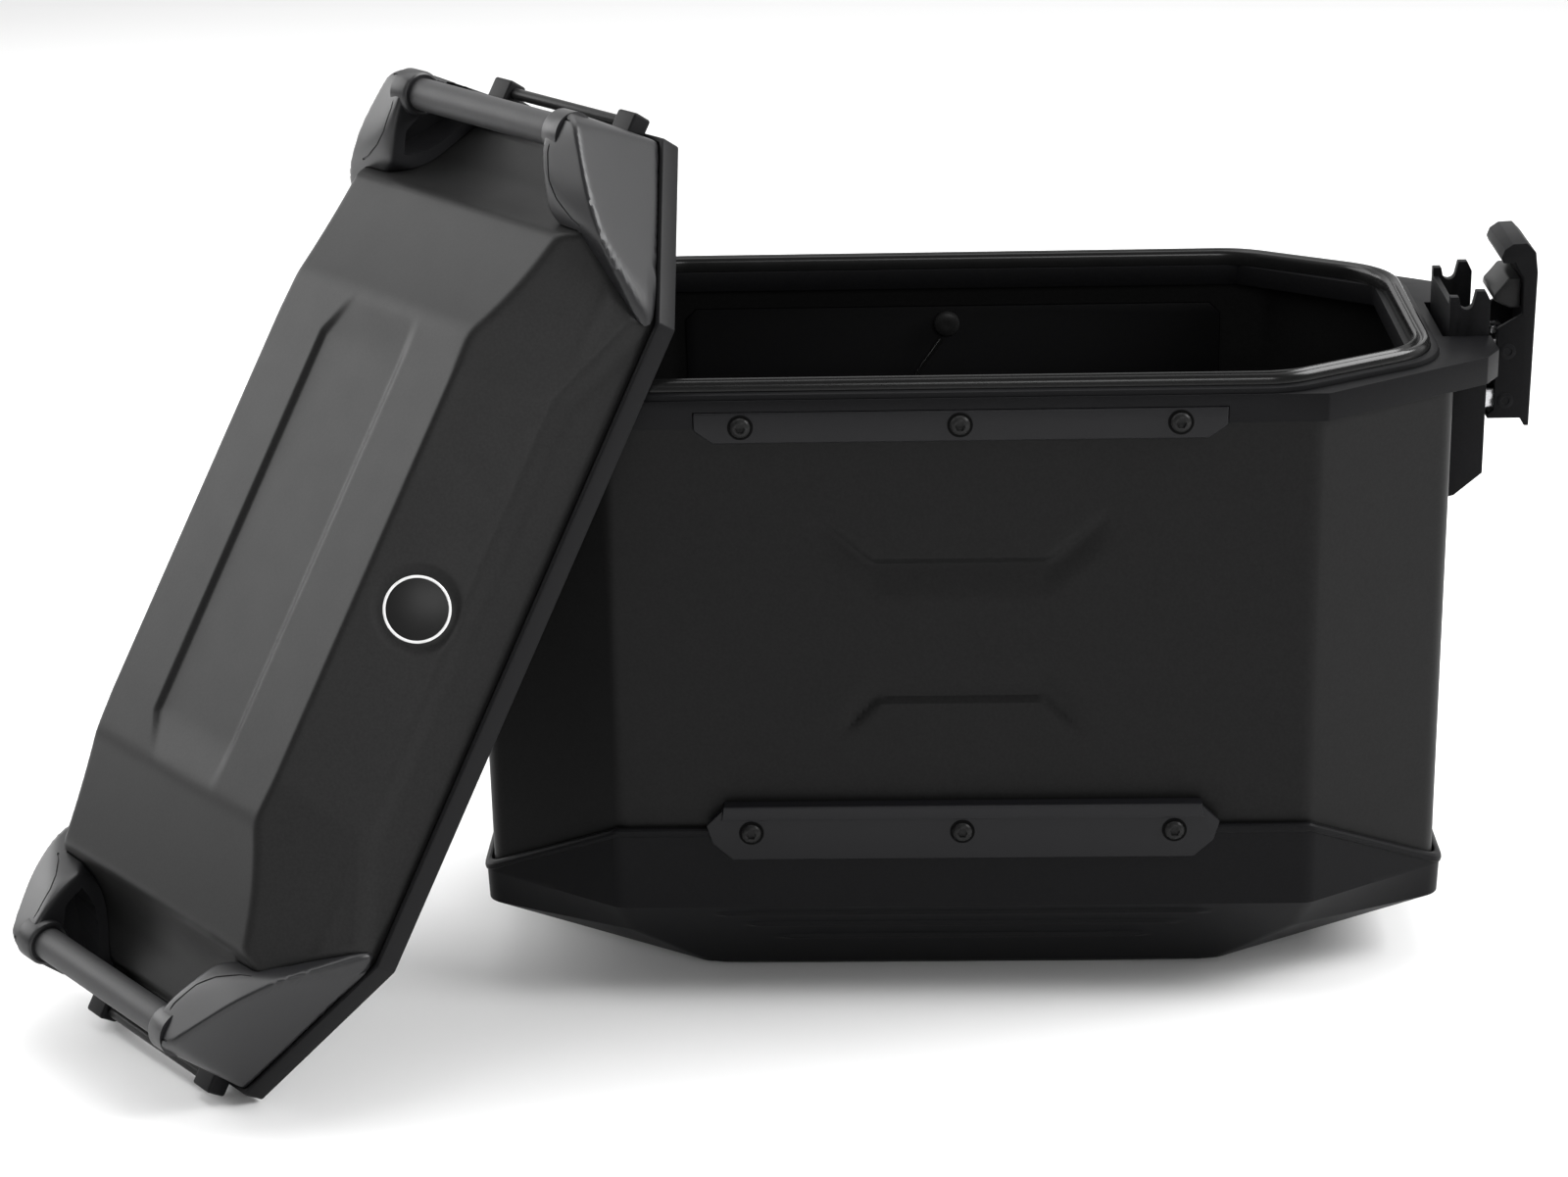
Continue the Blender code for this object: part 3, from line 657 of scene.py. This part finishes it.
def rack_side():
    """The back plate and its four flat screws."""
    refined("rack_plate", 0.8, PLASTIC)
    low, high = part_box("rack_plate")
    face, middle = high[1] / MM, (low[2] + high[2]) / 2 / MM
    profile = [(7.5, -0.2), (7.5, 0.2), (6.9, 0.5), (3.3, 0.6), (3.0, 0.45), (2.9, 0.2), (1.0, 0.1)]
    for end, sx in ENDS:
        for row, sz in (("upper", 1), ("lower", -1)):
            centre = (sx * RACK_SCREW[0], face, middle + sz * RACK_SCREW[1])
            made = lathe(profile, centre, (0, 1, 0), corners=(6, 3.1))
            to_piece(f"rack_screw_{row}_{end}", made, BLACK_STEEL, "case")


def inside_parts():
    """The liner and the knob on it."""
    # The liner gets the colour darkened as painted shade.
    refined("inner_liner", 0.6, LINER_PAINTED_SHADE)
    low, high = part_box("cord_knob")
    x, z = (low[0] + high[0]) / 2 / MM, (low[2] + high[2]) / 2 / MM
    profile = [(6.0, 0.0), (6.0, 2.2), (7.0, 2.8), (7.0, 5.2), (6.4, 6.3), (5.0, 6.9), (2.0, 7.0),
               (1.0, 6.9)]
    made = lathe(profile, (x, high[1] / MM, z), (0, -1, 0))
    to_piece("knob_head", made, BLACK_STEEL, "case", ["cord_knob"])


def smooth_route(route, step):
    """Points about a step apart on a smooth curve through the route's own points."""
    knots = [Vector(place) for place in route]
    knots = [2 * knots[0] - knots[1], *knots, 2 * knots[-1] - knots[-2]]
    out = []
    for a, b, c, d in zip(knots, knots[1:], knots[2:], knots[3:]):
        count = max(1, round((c - b).length / step))
        for k in range(count):
            t = k / count
            bend = (2 * a - 5 * b + 4 * c - d) * t * t + (3 * b - a - 3 * c + d) * t ** 3
            out.append((2 * b + (c - a) * t + bend) / 2)
    return [*out, knots[-2]]


def wire(name, points, radius, look, smoothness):
    """A round wire of the given radius through some points."""
    curve = bpy.data.curves.new(name, "CURVE")
    curve.dimensions = "3D"
    curve.bevel_depth = radius * MM
    curve.bevel_resolution = smoothness
    curve.use_fill_caps = True
    line = curve.splines.new("POLY")
    line.points.add(len(points) - 1)
    for point, place in zip(line.points, points):
        point.co = (*(Vector(place) * MM), 1.0)
    made = bpy.data.objects.new(name, curve)
    bpy.context.scene.collection.objects.link(made)
    curve.materials.append(look)
    return made


def hanging_cord():
    """The thin cord that hangs from the knob into the case."""
    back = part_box("inner_liner")[0][1] / MM - 0.3
    route = [(x, back - y, z) for x, y, z in CORD]
    places = smooth_route(route, CORD_STEP)
    cord = wire("hanging_cord", places, CORD_RADIUS, RUBBER, 4)
    end = refined("cord_end", 0.5, STEEL)
    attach(cord, "case")
    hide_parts("lid_cord")


# ---------------------------------------------------------------- latches

def latch(name, side):
    """Rounded housing, links, lever and pins of one latch, with rivets and a spring."""
    refined(f"latch_housing_{name}", 0.9, PLASTIC)
    refined(f"lever_{name}", 1.1, PLASTIC)
    refined(f"lever_claw_{name}", 1.2, BLACK_STEEL)
    for row in ("upper", "lower"):
        refined(f"{row}_base_pin_{name}", 0.4, STEEL)
        for face in ("front", "back"):
            refined(f"{row}_link_{face}_{name}", 0.5, STEEL)
            refined(f"{row}_lever_pin_{face}_{name}", 0.3, STEEL)
    rivet = [(4.2, -0.2), (4.2, 0.15), (3.9, 0.35), (2.2, 0.45), (1.8, 0.2), (0.8, 0.2)]
    for face, sign in FACES:
        for row, z in (("upper", UPPER_PIVOT_Z), ("lower", LOWER_PIVOT_Z)):
            made = lathe(rivet, (side * (BASE_X + LINK), sign * LEVER_HALF, z), (0, sign, 0))
            to_piece(f"{row}_rivet_{face}_{name}", made, PLASTIC, f"lever_{name}")
    spring(name, side)


def spring(name, side):
    """The torsion spring round the upper base pin, with its two legs."""
    turns, per_turn, radius, thickness = 4.25, 24, 3.7, 1.4
    start, pitch = -15.2, 1.55
    points = [(side * (BASE_X + 1.0), start, UPPER_PIVOT_Z - 13.0)]
    for k in range(int(turns * per_turn) + 1):
        angle = -math.pi / 2 + 2 * math.pi * k / per_turn
        points.append((side * (BASE_X + radius * math.cos(angle)), start + pitch * k / per_turn,
                       UPPER_PIVOT_Z + radius * math.sin(angle)))
    points.append((side * (BASE_X - 1.0), points[-1][1] + 0.5, UPPER_PIVOT_Z + 5.2))
    made = wire(f"spring_{name}", points, thickness / 2, STEEL, 3)
    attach(made, "case")
    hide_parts(f"latch_spring_{name}")


# ---------------------------------------------------------------- lid

def falling(slope, along):
    """Height on one of the slopes at a distance along it."""
    height, fall, start = slope
    return height - fall * (along - start)


def front_height(ax, ay):
    """The front slope, its corner facet past the crown's end, and the steep band below it."""
    past = 0.962 * (ax - 104.8) - 0.273 * (ay - SLOPE_TOP[0])
    slope = SLOPE_TOP[1] - SLOPE_FALL * (ay - SLOPE_TOP[0]) - 0.07 * smooth_max(past, 0.0, 2.0)
    edge = SLOPE_EDGE + 0.187 * np.clip(ax - EDGE_TURN, 0.0, 60.0)
    step = SLOPE_TOP[1] - SLOPE_FALL * (edge - SLOPE_TOP[0]) - 4.5 * (ay - edge)
    band = SKIRT_TOP + BAND_RISE * np.clip(LID_EDGE[1] - DOME_INSET - ay, -5.0, 12.0)
    return smooth_max(smooth_min(slope, step, 2.5), band, 5.0)


def dome_height(x, y):
    """Height of the lid's outer skin over a point of its plan."""
    ax, ay = np.abs(x), np.abs(y)
    end = smooth_max(smooth_min(falling(GENTLE, ax), falling(DROP, ax), 4.0), falling(SHELF, ax), 12.0)
    top = smooth_min(smooth_min(front_height(ax, ay), end, 2.4), CROWN, 2.0)
    to_side = SKEW_REACH - (SKEW[0] * ax + SKEW[1] * ay)
    walls = SKIRT_TOP + 4.0 * np.minimum(to_side, DOME_END - ax)
    height = smooth_min(top, walls, 4.0) - channel_depth(x, y) - dimple_depth(x, y)
    return np.maximum(height, SKIRT_TOP - 0.5)


def channel_depth(x, y):
    """The shallow channel along the crown, whose back edge bends in at both ends."""
    ax = np.abs(x)
    back = CHANNEL[1] - 0.61 * np.clip(ax - 103.0, 0.0, 40.0) - y
    front = y - CHANNEL[0]
    fade = 1 - ease((ax - 98.0) / 32.0)
    return CHANNEL_DEPTH * ease(back / 4.0) * ease(front / 8.0) * fade


def dimple_depth(x, y):
    """The round seat of the badge on the front slope."""
    stretch = math.sqrt(1 + SLOPE_FALL ** 2)
    away = np.hypot(x - BADGE[0], (y - BADGE[1]) * stretch)
    return 1.8 * ease(1 - (away - BADGE_RADIUS - 0.8) / 4.5)


def dome_rings(rows, grow=0.0, sink=0.0, spacing=3.0):
    """Rings from the dome's foot inward to its crown, each a smaller copy of the foot's outline."""
    outline = np.array(filled(rounded(octagon(LID_EDGE, -DOME_INSET), 12.0, 6), spacing))
    rings = []
    for k in range(rows + 1):
        share = 1.0 - (k / rows) ** 0.92 * (1 - CROWN_CAP)
        x, y = outline[:, 0] * share, outline[:, 1] * share
        z = dome_height(x, y) - sink
        scale = 1.0 + grow / 119.3
        rings.append(list(zip(x * scale, y * scale, np.maximum(z, DOME_FOOT))))
    return rings


def lid_dome():
    """The formed lid: a soft-edged skin with a channel, a badge seat and concave end shelves."""
    outer = dome_rings(104, spacing=2.5)
    foot = [(x, y, DOME_FOOT) for x, y, _ in outer[0]]
    inner = dome_rings(26, grow=-DOME_WALL, sink=DOME_WALL + 0.3, spacing=2.5)
    inner[0] = [(x, y, DOME_FOOT) for x, y, _ in inner[0]]
    made = loft(list(reversed(outer)) + [foot] + inner)
    to_piece("lid_dome", made, LID_COAT, "lid", ["lid_shell"], LID, sharp=50.0)


def skirt_outline(inset):
    """The skirt's outline moved inward, with the latch recess at each end."""
    front, depth = octagon(LID_EDGE, -inset)[0]
    width, side = octagon(LID_EDGE, -inset)[1]
    recess = RECESS_HALF + inset
    quarter = [(front, depth), (width, side), (width, recess), (RECESS_X - inset, recess)]
    return rounded(turned(quarter), 3.0, 4)


def lid_skirt():
    """The edge frame with rounded edges and a shadow groove beside the dome."""
    profile = [(0.7, 0.0), (0.0, 0.7), (0.0, 10.2), (0.4, 11.2), (1.3, SKIRT_TOP), (2.4, SKIRT_TOP),
               (3.0, 11.2), (3.2, 9.1), (9.5, 9.1), (9.5, 7.2), (3.2, 7.2), (3.0, 0.4), (2.6, 0.0)]
    rings = [[(x, y, z) for x, y in skirt_outline(inset)] for inset, z in profile]
    made = loft(rings, closed_loop=True)
    to_piece("skirt_frame", made, EDGE, "lid", ["lid_skirt"], LID)


def keeper_lugs():
    """Rounded lugs on the edge frame that hold the keeper pins at both ends."""
    (x0, x1), (y0, y1), (z0, z1) = LUG
    for end, sx in ENDS:
        for face, sy in FACES:
            made = bmesh.new()
            turn = Matrix.Diagonal((x1 - x0, y1 - y0, z1 - z0, 1.0))
            middle = Matrix.Translation((sx * (x0 + x1) / 2, sy * (y0 + y1) / 2, (z0 + z1) / 2))
            bmesh.ops.create_cube(made, size=1.0, matrix=Matrix.Scale(MM, 4) @ middle @ turn)
            bmesh.ops.bevel(made, geom=made.edges[:], offset=LUG_ROUND * MM, segments=4, profile=0.5,
                            affect="EDGES")
            to_piece(f"keeper_lug_{face}_{end}", made, EDGE, "lid", (), LID)


def hull_planes(points, centre):
    """Outward planes of the convex hull round some points, as normals and distances from centre."""
    made = bmesh.new()
    for p in points:
        made.verts.new(p)
    bmesh.ops.convex_hull(made, input=made.verts)
    made.normal_update()
    found = {}
    for face in made.faces:
        normal = face.normal.normalized()
        away = (face.verts[0].co - Vector(centre)).dot(normal)
        if away < 0:
            normal, away = -normal, -away
        found[tuple(round(v, 2) for v in normal)] = (tuple(normal), away)
    made.free()
    return np.array([n for n, _ in found.values()]), np.array([d for _, d in found.values()])


def soft_hull(points, centre, sharpness, level=6):
    """A convex body round the points with rounded edges; a greater sharpness rounds them less."""
    normals, away = hull_planes(points, centre)
    made = bmesh.new()
    bmesh.ops.create_icosphere(made, subdivisions=level, radius=1.0)
    for vert in made.verts:
        facing = np.clip(normals @ np.array(vert.co), 0.0, None) / away
        reach = np.sum(facing ** sharpness) ** (-1.0 / sharpness)
        vert.co = (Vector(centre) + vert.co * reach) * MM
    return made


def mirrored(point, sx, sy):
    """A lid point carried to another corner."""
    return (sx * point[0], sy * point[1], *point[2:])


def cheek(sx, sy, end, face):
    """One corner piece: soft outer form, hollow inner side, cut to sit on the dome, with a thin groove."""
    name = f"{face}_{end}"
    points = [mirrored(p, sx, sy) for p in CHEEK]
    made = soft_hull(points, mirrored(CHEEK_CENTRE, sx, sy), CHEEK_SHARPNESS)
    surface = BVHTree.FromBMesh(made)
    path = []
    for x, y in GROOVE:
        start = Vector((sx * x * MM, sy * y * MM, 0.12))
        hit = surface.ray_cast(start, Vector((0, 0, -1)))[0]
        path.append(tuple(hit / MM))
    near = [(sx * x, sy * 50.0, z) for x, z in POCKET]
    far = [(sx * x, sy * (66.0 + 0.62 * (246.0 - x)), 40 + (z - 40) * 0.8) for x, z in POCKET]
    under = tool(loft(dome_tool()))
    made = carve(made, [under, hull_tool(near + far), tube(path, 0.55)])
    node = f"lid_cheek_{name}"
    to_piece(f"cheek_{name}", made, SATIN, "lid", [node], LID, sharp=64.0)


def dome_tool():
    """The space under the dome's skin, for cutting the corner pieces to it."""
    rings = dome_rings(56, grow=0.3, sink=-0.35, spacing=4.0)
    foot = [(x, y, 4.0) for x, y, _ in rings[0]]
    return [foot] + rings


def hull_tool(points):
    """A convex cutter round some points."""
    made = bmesh.new()
    for p in points:
        made.verts.new(Vector(p) * MM)
    bmesh.ops.convex_hull(made, input=made.verts)
    bmesh.ops.delete(made, geom=[v for v in made.verts if not v.link_faces], context="VERTS")
    return tool(made)


def tube(path, radius, sides=8):
    """A thin closed tube along some points, as a cutter."""
    points = [Vector(p) for p in path]
    rings = []
    for i, here in enumerate(points):
        along = (points[min(i + 1, len(points) - 1)] - points[max(i - 1, 0)]).normalized()
        side = along.cross(Vector((0, 0, 1))).normalized()
        up = side.cross(along)
        angles = [2 * math.pi * k / sides for k in range(sides)]
        rings.append([tuple(here + (side * math.cos(a) + up * math.sin(a)) * radius) for a in angles])
    return tool(loft(rings))


def bars():
    """Lashing bars, their bushings and the keeper pins."""
    for end, sx in ENDS:
        profile = [(7.4, -BAR_HALF - 5), (8.0, -BAR_HALF - 4), (8.2, -BAR_HALF - 3)]
        profile += [(BAR_RADIUS, y) for y in (-50, -20, 0, 20, 50)]
        profile += [(8.2, BAR_HALF + 3), (8.0, BAR_HALF + 4), (7.4, BAR_HALF + 5)]
        made = lathe(profile, (sx * BAR_X, 0, BAR_Z), (0, 1, 0), 64)
        to_piece(f"bar_{end}", made, BAR, "lid", [f"lid_bar_{end}"], LID)
        refined(f"keeper_pin_{end}", 0.6, BLACK_STEEL)
        for face, sy in FACES:
            ring = [(8.35, 0.0), (8.35, 12.0), (11.6, 12.0), (11.6, 1.4), (11.0, 0.3), (10.0, -0.2),
                    (9.0, 0.0)]
            made = lathe(ring, (sx * BAR_X, sy * (BAR_HALF - 1.8), BAR_Z), (0, sy, 0), 64)
            to_piece(f"bushing_{face}_{end}", made, SATIN, "lid", (), LID)


def badge():
    """A plain round badge: a dark disc in a pale ring."""
    out = Vector((0.0, -SLOPE_FALL, 1.0)).normalized()
    height = SLOPE_TOP[1] - SLOPE_FALL * (-BADGE[1] - SLOPE_TOP[0])
    centre = Vector((BADGE[0], BADGE[1], height)) - out * 1.1
    turn = tuple(out)
    disc = [(14.9, 0.0), (14.9, 1.35), (14.5, 1.45), (0.5, 1.5)]
    ring = [(BADGE_RADIUS, 0.0), (BADGE_RADIUS, 1.2), (15.9, 1.55), (15.3, 1.55), (15.0, 1.3), (15.0, 0.0)]
    flat = lathe(disc, centre, turn, 96)
    to_piece("badge_disc", flat, BADGE_DARK, "lid", ["lid_badge"], LID)
    to_piece("badge_ring", lathe(ring, centre, turn, 96), BADGE_PALE, "lid", (), LID)


# ---------------------------------------------------------------- stage

def softbox(name, place, aim, size, power):
    """A rectangular soft light pointing at aim."""
    lamp = bpy.data.lights.new(name, "AREA")
    lamp.shape = "RECTANGLE"
    lamp.size, lamp.size_y = size
    lamp.energy = power
    made = bpy.data.objects.new(name, lamp)
    made.location = place
    made.rotation_euler = (Vector(aim) - Vector(place)).to_track_quat("-Z", "Y").to_euler()
    bpy.context.scene.collection.objects.link(made)


def camera():
    """The camera at the photograph's angle."""
    yaw, lift, roll, distance = -0.040, 0.354, -0.025, 1.7819
    target = Vector((-0.09203, 0.0, 0.17924))
    forward = Vector((math.sin(yaw) * math.cos(lift), math.cos(yaw) * math.cos(lift), -math.sin(lift)))
    right = Vector((math.cos(yaw), -math.sin(yaw), 0.0))
    up = right.cross(forward)
    side = right * math.cos(roll) + up * math.sin(roll)
    top = up * math.cos(roll) - right * math.sin(roll)
    data = bpy.data.cameras.new("camera")
    data.sensor_width = 36.0
    data.lens = 76.8
    made = bpy.data.objects.new("camera", data)
    turn = Matrix((side, top, -forward)).transposed().to_4x4()
    made.matrix_world = Matrix.Translation(target - forward * distance) @ turn
    bpy.context.scene.collection.objects.link(made)
    bpy.context.scene.camera = made


def floor():
    """The pale floor."""
    made = bmesh.new()
    bmesh.ops.create_grid(made, x_segments=1, y_segments=1, size=12.0)
    mesh = bpy.data.meshes.new("floor")
    made.to_mesh(mesh)
    made.free()
    sheet = bpy.data.objects.new("floor", mesh)
    sheet.location = (0.0, 0.0, -0.0005)
    mesh.materials.append(floor_paint())
    bpy.context.scene.collection.objects.link(sheet)


def surroundings():
    """Even light all round, dimmer in front than behind."""
    world = bpy.data.worlds.new("surroundings")
    world.use_nodes = True
    tree = world.node_tree
    tree.nodes["Background"].inputs["Color"].default_value = (1.0, 1.0, 1.0, 1.0)
    where = tree.nodes.new("ShaderNodeTexCoord")
    axes = tree.nodes.new("ShaderNodeSeparateXYZ")
    level = tree.nodes.new("ShaderNodeMapRange")
    level.inputs["From Min"].default_value = -0.5
    level.inputs["From Max"].default_value = 0.4
    level.inputs["To Min"].default_value = 0.2
    level.inputs["To Max"].default_value = 1.0
    tree.links.new(where.outputs["Generated"], axes.inputs["Vector"])
    tree.links.new(axes.outputs["Y"], level.inputs["Value"])
    tree.links.new(level.outputs["Result"], tree.nodes["Background"].inputs["Strength"])
    bpy.context.scene.world = world


def lights():
    """Soft lights at the sides, above, in front and behind."""
    softbox("left_box", (-2.2, 0.3, 1.45), (-0.2, 0.0, 0.2), (1.8, 1.7), 40.0)
    softbox("right_box", (2.2, -0.25, 1.9), (-0.1, 0.0, 0.3), (1.6, 1.5), 92.0)
    softbox("back_box", (-2.0, 1.6, 0.7), (-0.2, 0.0, 0.3), (1.2, 1.0), 10.0)
    softbox("top_box", (-0.2, 0.5, 2.5), (0.0, 0.0, 0.2), (2.4, 2.0), 42.0)
    softbox("front_box", (0.45, -2.7, 1.35), (-0.2, 0.0, 0.3), (1.1, 0.7), 16.0)


camera()
hanging_cord()
case_body()
bottom_pan()
collar()
seal()
front_plates()
rack_side()
inside_parts()
for end, sx in ENDS:
    latch(end, sx)
lid_dome()
lid_skirt()
keeper_lugs()
for end, sx in ENDS:
    for face, sy in FACES:
        cheek(sx, sy, end, face)
bars()
badge()
floor()
surroundings()
lights()
bpy.context.scene.view_settings.view_transform = "Standard"
